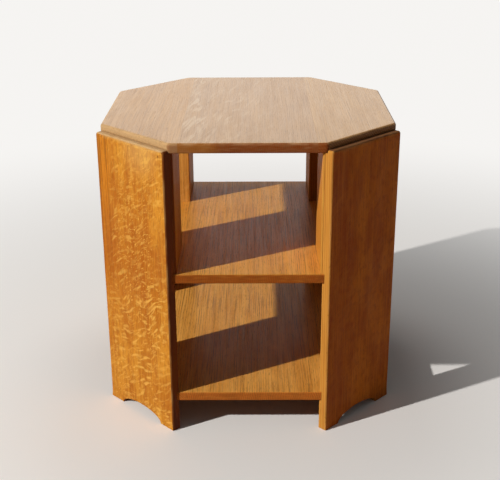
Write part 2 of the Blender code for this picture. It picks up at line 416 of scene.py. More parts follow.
class NodeBench:
    """A small workbench for the nodes of a material or the world."""

    def __init__(self, tree: bpy.types.NodeTree) -> None:
        """Work on a tree of nodes."""
        self.tree = tree

    def node(self, kind: str, **settings: object) -> bpy.types.Node:
        """Add a node.

        Args:
            kind: The node's type.
            settings: Its properties.

        Returns:
            The node.
        """
        made = self.tree.nodes.new(kind)
        for name, value in settings.items():
            setattr(made, name, value)
        return made

    def feed(self, socket: Socket, value: Value) -> None:
        """Link a socket to another one, or set it to a plain value.

        Args:
            socket: The socket to feed.
            value: The other socket, or the value.
        """
        if isinstance(value, Socket):
            self.tree.links.new(value, socket)
        else:
            socket.default_value = value

    def calc(self, operation: str, first: Value, second: Value = 0.0, kind: str = "Math") -> Socket:
        """Work out one sum.

        Args:
            operation: The node's operation.
            first: The first value or socket.
            second: The second value or socket.
            kind: Math for numbers or VectorMath for vectors.

        Returns:
            The result's socket.
        """
        made = self.node(f"ShaderNode{kind}", operation=operation)
        self.feed(made.inputs[0], first)
        self.feed(made.inputs[1], second)
        return next(socket for socket in made.outputs if socket.enabled)

    def plus(self, first: Value, second: Value) -> Socket:
        """One number added to another."""
        return self.calc("ADD", first, second)

    def minus(self, first: Value, second: Value) -> Socket:
        """One number less another."""
        return self.calc("SUBTRACT", first, second)

    def times(self, first: Value, second: Value) -> Socket:
        """One number times another."""
        return self.calc("MULTIPLY", first, second)

    def most(self, first: Value, second: Value) -> Socket:
        """The greater of two numbers."""
        return self.calc("MAXIMUM", first, second)

    def size(self, number: Value) -> Socket:
        """A number without its sign."""
        return self.calc("ABSOLUTE", number)

    def rest(self, share: Value) -> Socket:
        """What a share leaves of 1."""
        return self.minus(1.0, share)

    def vector_plus(self, first: Value, second: Value) -> Socket:
        """One vector added to another."""
        return self.calc("ADD", first, second, "VectorMath")

    def vector_times(self, first: Value, second: Value) -> Socket:
        """One vector times another, axis by axis."""
        return self.calc("MULTIPLY", first, second, "VectorMath")

    def distance(self, first: Value, second: Value) -> Socket:
        """How far two places lie apart."""
        return self.calc("DISTANCE", first, second, "VectorMath")

    def split(self, vector: Socket) -> dict[str, Socket]:
        """Take a vector apart.

        Args:
            vector: The vector's socket.

        Returns:
            Its X, Y and Z sockets.
        """
        made = self.node("ShaderNodeSeparateXYZ")
        self.feed(made.inputs[0], vector)
        return {axis: made.outputs[axis] for axis in "XYZ"}

    def join(self, parts: Sequence[Value]) -> Socket:
        """Make one vector from three numbers.

        Args:
            parts: The three values or sockets.

        Returns:
            The vector's socket.
        """
        made = self.node("ShaderNodeCombineXYZ")
        for socket, part in zip(made.inputs, parts):
            self.feed(socket, part)
        return made.outputs[0]

    def noise(self, place: Socket, clouds: Clouds) -> bpy.types.Node:
        """Add cloudy noise.

        Args:
            place: Where it is read.
            clouds: Its pattern.

        Returns:
            The noise's node.
        """
        made = self.node("ShaderNodeTexNoise")
        self.feed(made.inputs["Vector"], self.vector_times(place, clouds.scale))
        made.inputs["Scale"].default_value = 1.0
        made.inputs["Detail"].default_value = clouds.detail
        made.inputs["Roughness"].default_value = clouds.roughness
        return made

    def cloud(self, place: Socket, clouds: Clouds) -> Socket:
        """Cloudy noise from 0 to 1."""
        return self.noise(place, clouds).outputs["Fac"]

    def patches(self, place: Socket, clouds: Clouds) -> Socket:
        """Soft patches of cloudy noise."""
        return self.step(self.cloud(place, clouds), *clouds.ends)

    def drift(self, place: Socket, clouds: Clouds) -> Socket:
        """Cloudy noise from the pattern's one end to its other."""
        return self.span(self.cloud(place, clouds), *clouds.ends)

    def wander(self, place: Socket, clouds: Clouds, reach: Triple) -> Socket:
        """A cloudy shift of places.

        Args:
            place: Where it is read.
            clouds: Its pattern.
            reach: How far it shifts along each axis, in metres.

        Returns:
            The shift's socket.
        """
        three = self.noise(place, clouds).outputs["Color"]
        return self.vector_times(self.vector_plus(three, (-NOISE_MIDDLE,) * 3), reach)

    def step(self, value: Value, low: float, high: float) -> Socket:
        """Make a soft step.

        Args:
            value: The value or socket.
            low: The value that gives 0.
            high: The value that gives 1.

        Returns:
            The result's socket.
        """
        made = self.node("ShaderNodeMapRange", interpolation_type="SMOOTHSTEP")
        self.feed(made.inputs["Value"], value)
        made.inputs["From Min"].default_value = low
        made.inputs["From Max"].default_value = high
        return made.outputs["Result"]

    def span(self, value: Value, low: float, high: float, start: float = 0.0, end: float = 1.0) -> Socket:
        """Spread a value evenly over a range.

        Args:
            value: The value or socket.
            low: The result at the start, and before it.
            high: The result at the end, and past it.
            start: The value that gives the low result.
            end: The value that gives the high result.

        Returns:
            The result's socket.
        """
        made = self.node("ShaderNodeMapRange")
        self.feed(made.inputs["Value"], value)
        for name, number in (("From Min", start), ("From Max", end), ("To Min", low), ("To Max", high)):
            made.inputs[name].default_value = number
        return made.outputs["Result"]

    def blend(self, share: Value, first: Value, second: Value) -> Socket:
        """Blend two colours.

        Args:
            share: How much of the second there is.
            first: The first colour or socket.
            second: The second colour or socket.

        Returns:
            The colour's socket.
        """
        made = self.node("ShaderNodeMix", data_type="RGBA")
        self.feed(made.inputs[MIX_SHARE], share)
        for socket, colour in ((made.inputs[MIX_FIRST], first), (made.inputs[MIX_SECOND], second)):
            self.feed(socket, (*colour, 1.0) if isinstance(colour, tuple) else colour)
        return made.outputs[MIX_RESULT]

    def tint(self, colour: Value, where: Socket, share: float, other: Value) -> Socket:
        """A colour that takes on a share of another one in some places."""
        return self.blend(self.times(where, share), colour, other)

    def bump(self, height: Socket, depth: float) -> Socket:
        """Turn a height from 0 to 1 into a bumped normal.

        Args:
            height: The height's socket.
            depth: The real depth in metres.

        Returns:
            The normal's socket.
        """
        made = self.node("ShaderNodeBump")
        made.inputs["Strength"].default_value = 1.0
        made.inputs["Distance"].default_value = depth
        self.feed(made.inputs["Height"], height)
        return made.outputs["Normal"]


class FinishBench(NodeBench):
    """A workbench with a new material on it."""

    def __init__(self, name: str) -> None:
        """Start an empty material.

        Args:
            name: The material's name.
        """
        self.material = bpy.data.materials.new(name)
        self.material.use_nodes = True
        super().__init__(self.material.node_tree)
        self.shader = self.tree.nodes["Principled BSDF"]

    def finish(self, **inputs: Value) -> bpy.types.Material:
        """Feed the shader.

        Args:
            inputs: What each of its sockets takes, with the socket's name in small letters.

        Returns:
            The finished material.
        """
        for socket in self.shader.inputs:
            name = socket.name.lower().replace(" ", "_")
            if name in inputs:
                self.feed(socket, inputs[name])
        return self.material


@dataclass(frozen=True)
class Spot:
    """A round spot on a board's face: its place across and along the board, and its radius."""

    across: float
    along: float
    radius: float


@dataclass(frozen=True)
class SideBand:
    """A straight-grained band: where across the board it starts, its side of that and where it begins."""

    start: float
    side: float
    low: float


@dataclass(frozen=True)
class BareStretch:
    """A stretch of a board's ends that has lost its polish: its middle and its half length."""

    middle: float
    half: float


@dataclass(frozen=True)
class Timber:
    """One board's own figure: its number, how it was sawn, its tone and how much ray fleck it shows.

    The fleck leans to one side: a lean of 1 doubles it there and leaves none on the other side. Past the
    calm place along the board there is less of it. The long edges and the ends have a shade of their own;
    on some boards it is painted light or shade, lighter where they face the light and darker where they
    lie in shade. Marks are small and dark, ruddy and pale patches large and soft.
    """

    seed: int
    cut: Cut = Cut.QUARTERED
    tone: Colour = NEUTRAL
    fleck: float = 1.0
    lean: float = 0.0
    edges: Colour = NEUTRAL
    ends: float = 1.0
    slope: float = 0.004
    calm: float | None = None
    band: SideBand | None = None
    marks: tuple[Spot, ...] = ()
    ruddy: tuple[Spot, ...] = ()
    pale: tuple[Spot, ...] = ()
    bare: BareStretch | None = None

    @property
    def offset(self) -> Triple:
        """Where in the tree the board comes from, in metres."""
        return tuple(step * self.seed for step in TREE_STEP)


@dataclass(frozen=True)
class OakFigure:
    """The clouds that oak's figure is drawn from: across the board, along its grain and through it."""

    ring_drift: Clouds = Clouds((6.0, 1.3, 6.0), (-0.022, 0.022), 1.0)
    ring_ripple: Clouds = Clouds((55.0, 5.0, 55.0), (-0.0035, 0.0035))
    pores: Clouds = Clouds((1300.0, 62.0, 1300.0), (0.57, 0.68), 1.0)
    ray_wander: Clouds = Clouds((17.0, 11.0, 17.0), detail=1.0)
    ray_curls: Clouds = Clouds((34.0, 66.0, 15.0), (0.005, 0.060), 1.0)
    curl_breaks: Clouds = Clouds((70.0, 60.0, 30.0), (0.45, 0.62), 1.0)
    ray_strokes: Clouds = Clouds((54.0, 125.0, 24.0), (0.52, 0.72), 1.0, 0.45)
    ray_drifts: Clouds = Clouds((13.0, 5.5, 13.0), (0.32, 0.58), 1.0)
    ray_dots: Clouds = Clouds((120.0, 190.0, 50.0), (0.57, 0.72), 1.0)
    dot_drifts: Clouds = Clouds((17.0, 1.6, 9.0), (0.48, 0.62), 1.0)
    broad: Clouds = Clouds((17.0, 0.9, 17.0), (0.30, 0.72))
    mottle: Clouds = Clouds((24.0, 9.0, 24.0), (0.38, 0.66), 4.0, 0.6)
    speckle: Clouds = Clouds((85.0, 60.0, 85.0), (0.50, 0.66))
    streaks: Clouds = Clouds((210.0, 3.4, 210.0), (0.42, 0.72), 3.0)
    veins: Clouds = Clouds((460.0, 7.0, 460.0), (0.48, 0.72))
    band_side: Clouds = Clouds((24.0, 2.2, 24.0), (-0.022, 0.022), 3.0)
    band_lines: Clouds = Clouds((190.0, 3.0, 190.0), (0.48, 0.66))
    edge_veins: Clouds = Clouds((260.0, 9.0, 260.0), (0.45, 0.72), 3.0)
    end_rays: Clouds = Clouds((45.0, 4.0, 900.0), (0.45, 0.75))
    soaked: Clouds = Clouds((60.0, 5.0, 60.0), (0.40, 0.70), 3.0)
    bare_side: Clouds = Clouds((30.0, 5.0, 90.0), (-0.02, 0.02), 3.0)
    rubbed: Clouds = Clouds((34.0, 18.0, 34.0), (0.34, 0.66), 3.0)
    dents: Clouds = Clouds((160.0, 120.0, 160.0), (0.63, 0.72))
    wax: Clouds = Clouds((26.0, 9.0, 26.0), detail=3.0)
    polish: Clouds = Clouds((300.0, 6.0, 300.0), (0.35, 0.65))


@dataclass(frozen=True)
class Oak:
    """Waxed oak: its colours, how strong each layer of its figure is, and how it shines.

    A share says how far a layer takes the colour to its own. A spot has the part of its radius where it is
    whole, and its share. Where a pair is a turn, it says how squarely a point faces some way.
    """

    slot: str
    body: Colour
    deep: Colour
    light: Colour
    fleck: Colour
    edge: Colour
    end: Colour
    pore: Colour
    worn: Colour
    band: Colour
    # painted shade: the colour that undersides and inner faces are darkened towards
    inner: Colour
    figure: OakFigure = OakFigure()
    face_turn: Pair = (0.85, 0.999)
    end_turn: Pair = (0.05, 0.45)
    inner_turn: Pair = (0.60, 0.95)
    ring_width: float = 0.0036
    ring_rise: Pair = (0.0, 0.10)
    ring_fall: Pair = (0.22, 0.70)
    ring_share: float = 0.30
    ring_height: float = 0.25
    late_pores: float = 0.25
    pore_depth: float = 0.00022
    pore_share: float = 0.60
    broad_share: float = 0.60
    mottle_share: float = 0.75
    speckle_share: float = 0.45
    streak_share: float = 0.45
    vein_share: float = 0.19
    fleck_length: float = 1.0
    fleck_rise: float = 0.5
    fleck_wander: Triple = (0.03, 0.04, 0.0)
    curl_share: float = 0.35
    stroke_share: float = 0.60
    large_drift: Pair = (0.25, 1.0)
    dot_drift: Pair = (0.05, 0.60)
    lean_reach: float = 0.1
    calm_share: float = 0.62
    calm_fade: float = 0.12
    band_side: Pair = (-0.006, 0.008)
    band_fade: float = 0.20
    band_share: float = 0.60
    band_line_share: float = 0.65
    band_fleck: float = 0.15
    edge_ring_share: float = 0.35
    edge_vein_share: float = 0.30
    # painted shade: how far the lower part of the long edges is darkened, and over what depth of the board
    grime_share: float = 0.0
    grime_depth: Pair = (0.002, 0.010)
    end_ring_share: float = 0.40
    end_ray_share: float = 0.18
    soaked_share: float = 0.25
    bare_share: float = 0.42
    bare_side: Pair = (0.5, 1.2)
    # how far undersides and inner faces take on the painted shade
    inner_share: float = 0.60
    rub_share: float = 0.35
    dent_share: float = 0.55
    mark: Pair = (0.3, 0.75)
    ruddy_patch: Pair = (0.0, 0.70)
    pale_patch: Pair = (0.2, 0.35)
    roughness: float = 0.46
    wax_smear: float = 0.12
    pore_dullness: float = 0.18
    end_dullness: float = 0.10
    ray_gloss: float = 0.10
    specular: float = 0.10
    polish: float = 0.0
    polish_roughness: float = 0.30
    polish_streaks: float = 0.50

    def toned(self, timber: Timber) -> "Oak":
        """This oak in one board's own tone.

        Args:
            timber: The board's own figure.

        Returns:
            The toned oak.
        """
        names = ("body", "deep", "light", "fleck", "edge", "end", "pore", "worn", "band", "inner")
        shades = {"edge": timber.edges, "end": (timber.ends,) * 3}
        toned = {}
        for name in names:
            factors = zip(getattr(self, name), timber.tone, shades.get(name, NEUTRAL))
            toned[name] = tuple(part * tone * shade for part, tone, shade in factors)
        return replace(self, **toned)

    def dress(self, piece: bpy.types.Object, timber: Timber, lie: Lie) -> None:
        """Give a piece this finish.

        Args:
            piece: The piece to dress.
            timber: The board's own figure.
            lie: How the board lies in the piece's own frame.
        """
        board = OakBoard(piece.name, self.toned(timber), timber, lie)
        piece.data.materials.append(board.material())


class OakBoard:
    """One board's oak on the bench: rings, pores, streaks, ray fleck, end grain and worn arrises."""

    def __init__(self, name: str, oak: Oak, timber: Timber, lie: Lie) -> None:
        """Lay out where a point lies in its board and in the tree, which way it faces, and the figure there.

        Args:
            name: The material's name.
            oak: The finish in the board's own tone.
            timber: The board's own figure.
            lie: How the board lies in the piece's own frame.
        """
        bench = FinishBench(name)
        self.bench, self.oak, self.timber = bench, oak, timber
        texture = bench.node("ShaderNodeTexCoord")
        own = bench.split(texture.outputs["Object"])
        facing = bench.split(texture.outputs["Normal"])
        self.across, self.along, self.depth = (own[axis] for axis in lie.value)
        sideways, endways, outwards = (bench.size(facing[axis]) for axis in lie.value)
        board = bench.join([self.across, self.along, self.depth])
        self.tree = bench.vector_plus(board, timber.offset)
        self.on_face = bench.step(outwards, *oak.face_turn)
        self.on_end = bench.step(bench.minus(endways, sideways), *oak.end_turn)
        # the board's back side (underside or inner face), where the painted shade is laid
        self.shaded_backside = bench.step(bench.times(facing[lie.value[2]], -1.0), *oak.inner_turn)
        self.in_band = self.side_band()
        self.early = self.early_wood()
        self.pores = self.open_pores()
        self.rays = self.ray_fleck()

    def side_band(self) -> Socket | None:
        """How far a point lies in the board's straight-grained band.

        Returns:
            A socket from 0 to 1, or nothing for a board without a band.
        """
        bench, oak, band = self.bench, self.oak, self.timber.band
        if band is None:
            return None
        past = bench.times(bench.minus(self.across, band.start), band.side)
        ragged = bench.plus(past, bench.drift(self.tree, oak.figure.band_side))
        begun = bench.step(self.along, band.low, band.low + oak.band_fade)
        return bench.times(bench.step(ragged, *oak.band_side), begun)

    def early_wood(self) -> Socket:
        """The growth rings, as the darker and more open early wood of each year.

        Returns:
            How much a point is early wood.
        """
        bench, oak = self.bench, self.oak
        middle_across, middle_depth = self.timber.cut.value
        across = bench.calc("POWER", bench.minus(self.across, middle_across), 2.0)
        depth = bench.calc("POWER", bench.minus(self.depth, middle_depth), 2.0)
        radius = bench.calc("SQRT", bench.plus(across, depth))
        slope = bench.times(self.along, self.timber.slope)
        drift = bench.plus(slope, bench.drift(self.tree, oak.figure.ring_drift))
        ripple = bench.drift(self.tree, oak.figure.ring_ripple)
        year = bench.plus(bench.plus(radius, drift), ripple)
        share = bench.calc("FRACT", bench.calc("DIVIDE", year, oak.ring_width))
        return bench.times(bench.step(share, *oak.ring_rise), bench.rest(bench.step(share, *oak.ring_fall)))

    def open_pores(self) -> Socket:
        """The open pores, short dark dashes along the grain, most of them in the early wood."""
        dashes = self.bench.patches(self.tree, self.oak.figure.pores)
        return self.bench.times(dashes, self.bench.span(self.early, self.oak.late_pores, 1.0))

    def ray_fleck(self) -> Socket:
        """The ray fleck: broken, wavy, lighter strokes that lie across the grain in drifts.

        Returns:
            How much fleck there is.
        """
        bench, oak, figure, timber = self.bench, self.oak, self.oak.figure, self.timber
        tree = bench.vector_times(self.tree, (1.0, 1.0 / oak.fleck_length, 1.0))
        parts = bench.split(tree)
        rising = bench.minus(parts["Y"], bench.times(parts["X"], oak.fleck_rise))
        tilted = bench.join([parts["X"], rising, parts["Z"]])
        bent = bench.vector_plus(tilted, bench.wander(tree, figure.ray_wander, oak.fleck_wander))
        level = bench.size(bench.minus(bench.cloud(bent, figure.ray_curls), NOISE_MIDDLE))
        curls = bench.rest(bench.step(level, *figure.ray_curls.ends))
        curls = bench.times(bench.times(curls, bench.patches(tree, figure.curl_breaks)), oak.curl_share)
        strokes = bench.times(bench.patches(bent, figure.ray_strokes), oak.stroke_share)
        drifts = bench.span(bench.patches(tree, figure.ray_drifts), *oak.large_drift)
        large = bench.times(bench.most(curls, strokes), drifts)
        drifts = bench.span(bench.patches(tree, figure.dot_drifts), *oak.dot_drift)
        small = bench.times(bench.patches(bent, figure.ray_dots), drifts)
        fleck = bench.times(bench.most(large, small), self.on_face)
        if timber.lean:
            reach = oak.lean_reach
            lean = bench.span(self.across, 1 - timber.lean, 1 + timber.lean, -reach, reach)
            fleck = bench.times(fleck, lean)
        if timber.calm is not None:
            calm = bench.span(self.along, 1.0, oak.calm_share, timber.calm, timber.calm + oak.calm_fade)
            fleck = bench.times(fleck, calm)
        if self.in_band is not None:
            fleck = bench.times(fleck, bench.span(self.in_band, 1.0, oak.band_fleck))
        return bench.times(fleck, timber.fleck)

    def long_grain(self) -> Socket:
        """The colour along the grain, before fleck and pores.

        Returns:
            The colour's socket.
        """
        bench, oak, figure = self.bench, self.oak, self.oak.figure
        layers = (
            (figure.broad, oak.broad_share, oak.deep),
            (figure.mottle, oak.mottle_share, oak.deep),
            (figure.speckle, oak.speckle_share, oak.deep),
            (figure.streaks, oak.streak_share, oak.light),
        )
        colour = oak.body
        for clouds, share, layer in layers:
            if share:
                colour = bench.tint(colour, bench.patches(self.tree, clouds), share, layer)
        colour = bench.tint(colour, self.early, oak.ring_share, oak.deep)
        colour = bench.tint(colour, bench.patches(self.tree, figure.veins), oak.vein_share, oak.pore)
        if self.in_band is not None:
            colour = bench.tint(colour, self.in_band, oak.band_share, oak.band)
            lines = bench.times(bench.patches(self.tree, figure.band_lines), self.in_band)
            colour = bench.tint(colour, lines, oak.band_line_share, oak.pore)
        return colour

    def long_edge(self) -> Socket:
        """The colour of the edges along the grain, with painted shade darkening their lower part.

        Returns:
            The colour's socket.
        """
        bench, oak = self.bench, self.oak
        colour = bench.tint(oak.edge, self.early, oak.edge_ring_share, oak.deep)
        # painted shade: the lower part of the edge is darkened towards the pore colour
        if oak.grime_share:
            low = bench.rest(bench.step(self.depth, *oak.grime_depth))
            colour = bench.tint(colour, low, oak.grime_share, oak.pore)
        veins = bench.patches(self.tree, oak.figure.edge_veins)
        return bench.tint(colour, veins, oak.edge_vein_share, oak.pore)

    def end_grain(self) -> Socket:
        """The colour across the grain: rings in section, and fine pale rays from ring to ring.

        Returns:
            The colour's socket.
        """
        bench, oak, figure, bare = self.bench, self.oak, self.oak.figure, self.timber.bare
        colour = bench.tint(oak.end, self.early, oak.end_ring_share, oak.pore)
        colour = bench.tint(colour, bench.patches(self.tree, figure.soaked), oak.soaked_share, oak.pore)
        if bare is not None:
            off = bench.size(bench.minus(self.across, bare.middle))
            ragged = bench.plus(off, bench.drift(self.tree, figure.bare_side))
            gone = bench.rest(bench.step(ragged, *(part * bare.half for part in oak.bare_side)))
            colour = bench.tint(colour, gone, oak.bare_share, oak.edge)
        return bench.tint(colour, bench.patches(self.tree, figure.end_rays), oak.end_ray_share, oak.body)

    def rubbed(self, colour: Socket) -> Socket:
        """The arrises rubbed paler in patches, and darkened where dents hold old wax.

        Args:
            colour: The colour before wear.

        Returns:
            The colour's socket.
        """
        bench, oak = self.bench, self.oak
        worn = bench.node("ShaderNodeAttribute", attribute_name=WEAR).outputs["Fac"]
        patchy = bench.times(worn, bench.patches(self.tree, oak.figure.rubbed))
        dents = bench.times(worn, bench.patches(self.tree, oak.figure.dents))
        colour = bench.tint(colour, patchy, oak.rub_share, oak.worn)
        return bench.tint(colour, dents, oak.dent_share, oak.pore)

    def spotted(self, colour: Socket, spots: Sequence[Spot], look: Pair, paint: Colour) -> Socket:
        """The colour with round spots on the board's face.

        Args:
            colour: The colour before them.
            spots: The spots.
            look: The part of the radius where a spot is whole, and its share.
            paint: The spots' colour.

        Returns:
            The colour's socket.
        """
        bench = self.bench
        core, share = look
        for spot in spots:
            flat = bench.join([self.across, self.along, 0.0])
            far = bench.distance(flat, (spot.across, spot.along, 0.0))
            near = bench.rest(bench.step(far, core * spot.radius, spot.radius))
            colour = bench.tint(colour, bench.times(near, self.on_face), share, paint)
        return colour

    def colour(self) -> Socket:
        """The whole colour: the face, its sides and ends, the wear and the marks.

        Returns:
            The colour's socket.
        """
        bench, oak, timber = self.bench, self.oak, self.timber
        colour = self.long_grain()
        colour = self.spotted(colour, timber.ruddy, oak.ruddy_patch, oak.deep)
        colour = self.spotted(colour, timber.pale, oak.pale_patch, oak.worn)
        colour = bench.blend(self.rays, colour, oak.fleck)
        colour = bench.tint(colour, self.pores, oak.pore_share, oak.pore)
        sides = bench.blend(self.on_end, self.long_edge(), self.end_grain())
        colour = bench.blend(self.on_face, sides, colour)
        # painted shade: undersides and inner faces darkened towards the inner colour
        if oak.inner_share:
            colour = bench.tint(colour, self.shaded_backside, oak.inner_share, oak.inner)
        return self.spotted(self.rubbed(colour), timber.marks, oak.mark, oak.pore)

    def dullness(self) -> Socket:
        """The roughness: uneven wax, duller in pores and on end grain, glossier on the rays.

        Returns:
            The roughness's socket.
        """
        bench, oak = self.bench, self.oak
        wax = bench.cloud(self.tree, oak.figure.wax)
        rough = bench.span(wax, oak.roughness - oak.wax_smear, oak.roughness + oak.wax_smear)
        rough = bench.plus(rough, bench.times(self.pores, oak.pore_dullness))
        rough = bench.plus(rough, bench.times(self.on_end, oak.end_dullness))
        return bench.minus(rough, bench.times(self.rays, oak.ray_gloss))

    def material(self) -> bpy.types.Material:
        """The board's finished material.

        Returns:
            The material.
        """
        bench, oak = self.bench, self.oak
        height = bench.rest(bench.plus(bench.times(self.early, oak.ring_height), self.pores))
        coat = {}
        if oak.polish:
            streaks = bench.patches(self.tree, oak.figure.polish)
            streaks = bench.span(streaks, oak.polish * (1 - oak.polish_streaks), oak.polish)
            coat["coat_weight"] = bench.times(self.on_face, streaks)
            coat["coat_roughness"] = oak.polish_roughness
        return bench.finish(
            base_color=self.colour(),
            roughness=self.dullness(),
            normal=bench.bump(height, oak.pore_depth),
            specular_ior_level=oak.specular,
            **coat,
        )


@dataclass(frozen=True)
class Softwood:
    """Bare sawn softwood for the hidden blocks."""

    pale: Colour = (0.72, 0.52, 0.29)
    band: Colour = (0.58, 0.35, 0.15)
    bands: Clouds = Clouds((40.0, 40.0, 420.0), (0.40, 0.66))
    saw_marks: Clouds = Clouds((900.0, 900.0, 120.0), detail=1.0)
    saw_depth: float = 0.0002
    roughness: float = 0.70

    def material(self, name: str) -> bpy.types.Material:
        """Make the finish.

        Args:
            name: The material's name.

        Returns:
            The material.
        """
        bench = FinishBench(name)
        place = bench.node("ShaderNodeTexCoord").outputs["Object"]
        colour = bench.blend(bench.patches(place, self.bands), self.pale, self.band)
        normal = bench.bump(bench.cloud(place, self.saw_marks), self.saw_depth)
        return bench.finish(base_color=colour, normal=normal, roughness=self.roughness)


@dataclass(frozen=True)
class ScrewSteel:
    """Plain bright steel, tarnished in fine patches."""

    bright: Colour = (0.55, 0.53, 0.50)
    dull: Colour = (0.33, 0.31, 0.29)
    tarnish: Clouds = Clouds((700.0, 700.0, 700.0), (0.40, 0.70), 3.0)
    roughness: Pair = (0.30, 0.50)

    def material(self, name: str) -> bpy.types.Material:
        """Make the finish.

        Args:
            name: The material's name.

        Returns:
            The material.
        """
        bench = FinishBench(name)
        place = bench.node("ShaderNodeTexCoord").outputs["Object"]
        tarnish = bench.cloud(place, self.tarnish)
        colour = bench.blend(bench.step(tarnish, *self.tarnish.ends), self.bright, self.dull)
        return bench.finish(base_color=colour, roughness=bench.span(tarnish, *self.roughness), metallic=1.0)


PANEL_OAK = Oak(
    slot="oak_panel",
    body=(0.705, 0.297, 0.031),
    deep=(0.385, 0.096, 0.0064),
    light=(0.735, 0.338, 0.042),
    fleck=(0.83, 0.46, 0.092),
    edge=(0.59, 0.29, 0.055),
    # partly painted sheen: the pale end colour stands in for the sheen on the panels' top lips, on top of
    # the end grain's own colour
    end=(0.58, 0.37, 0.195),
    pore=(0.19, 0.055, 0.006),
    worn=(0.67, 0.41, 0.15),
    band=(0.62, 0.197, 0.011),
    # painted shade: the darker colour for the panels' inner faces
    inner=(0.30, 0.13, 0.035),
)
TOP_OAK = replace(
    PANEL_OAK,
    slot="oak_top",
    # partly painted sheen: these pale, greyed top colours stand in for part of the sheen on the waxed face,
    # on top of the oak's own colour
    body=(0.74, 0.445, 0.210),
    deep=(0.60, 0.335, 0.140),
    light=(0.80, 0.500, 0.250),
    fleck=(0.86, 0.59, 0.33),
    edge=(0.52, 0.22, 0.04),
    end=(0.245, 0.048, 0.004),
    pore=(0.24, 0.110, 0.040),
    worn=(0.66, 0.41, 0.20),
    face_turn=(0.93, 0.985),
    pore_share=0.32,
    mottle_share=0.70,
    speckle_share=0.0,
    vein_share=0.28,
    fleck_length=6.0,
    # painted shade on the lower part of the top's long edges, over the panels' lips
    grime_share=0.92,
    # painted shade on the top's underside, kept light
    inner_share=0.20,
    roughness=0.42,
    specular=0.15,
    polish=1.0,
    polish_roughness=0.25,
    polish_streaks=0.20,
)
SHELF_OAK = replace(
    PANEL_OAK,
    slot="oak_shelf",
    body=(0.91, 0.430, 0.070),
    deep=(0.63, 0.250, 0.032),
    light=(0.91, 0.490, 0.100),
    fleck=(0.92, 0.54, 0.15),
    edge=(0.50, 0.17, 0.028),
    end=(0.395, 0.098, 0.013),
    pore=(0.16, 0.058, 0.012),
    worn=(0.60, 0.24, 0.045),
    face_turn=(0.80, 0.95),
    mottle_share=0.55,
    speckle_share=0.0,
    vein_share=0.54,
    fleck_length=2.0,
    # painted shade on the shelves' undersides, strong, so the bays below are darker
    inner_share=0.90,
    rub_share=0.40,
    polish=0.55,
)
LOW_SHELF_OAK = replace(
    SHELF_OAK,
    body=(0.92, 0.450, 0.090),
    light=(0.92, 0.510, 0.125),
    end=(0.40, 0.120, 0.020),
    specular=0.05,
    polish=0.45,
)
BOOKEND_OAK = replace(
    PANEL_OAK,
    slot="oak_bookend",
    body=(0.64, 0.275, 0.040),
    deep=(0.45, 0.155, 0.016),
    light=(0.72, 0.345, 0.062),
    fleck=(0.78, 0.43, 0.10),
    mottle_share=0.55,
    speckle_share=0.0,
    vein_share=0.35,
    inner_share=0.0,
    roughness=0.56,
)


@dataclass
class Deck:
    """The top or a shelf: an octagon of edge-glued boards with the grain from front to back."""

    name: str
    surface: float
    oak: Oak
    timbers: dict[str, Timber]
    arris: float = 0.0025
    lower_arris: float = 0.0025
    free_edge: Edge = Edge.ROUNDED
    diagonal_edge: Edge = Edge.SQUARE
    eased: float = 0.001
    eased_steps: int = 3
    thickness: float = BOARD_THICKNESS
    across_flats: float = 0.586
    diagonal_width: float = PANEL_WIDTH
    centre_width: float = 0.260
    glue_line: float = 0.00003

    @property
    def diagonal_distance(self) -> float:
        """How far the diagonal sides lie from the middle."""
        return ROOT_2 * self.across_flats / 2 - self.diagonal_width / 2

    def outlines(self) -> dict[str, list[Vector]]:
        """The octagon divided into its boards.

        Returns:
            The plan outline of the left, centre and right board.
        """
        reach = self.across_flats / 2
        whole = [Vector(p) for p in ((reach, -reach), (reach, reach), (-reach, reach), (-reach, -reach))]
        for across in (-1, 1):
            for along in (-1, 1):
                whole = saw(whole, Vector((across, along)) / ROOT_2, self.diagonal_distance)
        whole = ease_corners(whole, self.eased, self.eased_steps)
        seam = self.centre_width / 2
        gap = self.glue_line / 2
        left = Vector((-1, 0))
        right = Vector((1, 0))
        return {
            "left": saw(whole, right, -seam - gap),
            "centre": saw(saw(whole, right, seam - gap), left, seam - gap),
            "right": saw(whole, left, -seam - gap),
        }

    def edge_of(self, start: Vector, end: Vector) -> Edge:
        """How the side between two corners is finished.

        Args:
            start: The corner before it.
            end: The corner after it.

        Returns:
            The side's edge.
        """
        middle = (start + end) / 2
        if max(abs(middle.x), abs(middle.y)) > self.across_flats / 2 - self.arris:
            return self.free_edge
        if (abs(middle.x) + abs(middle.y)) / ROOT_2 > self.diagonal_distance - self.arris:
            return self.diagonal_edge
        return Edge.SQUARE

    def build(self) -> None:
        """Make and dress the boards."""
        seat = Matrix.Translation((0, 0, self.surface - self.thickness))
        for side, outline in self.outlines().items():
            timber = self.timbers[side]
            edges = [self.edge_of(start, end) for start, end in zip(outline, outline[1:] + outline[:1])]
            slab = Slab(outline, edges, self.thickness, self.arris, self.lower_arris, timber.seed)
            name = f"oak_{self.name}_{side}"
            piece = put(name, mesh_from(slab.loft(), name), seat)
            self.oak.dress(piece, timber, Lie.FLAT)
            hand_over(piece, f"{self.name}_board_{side}")


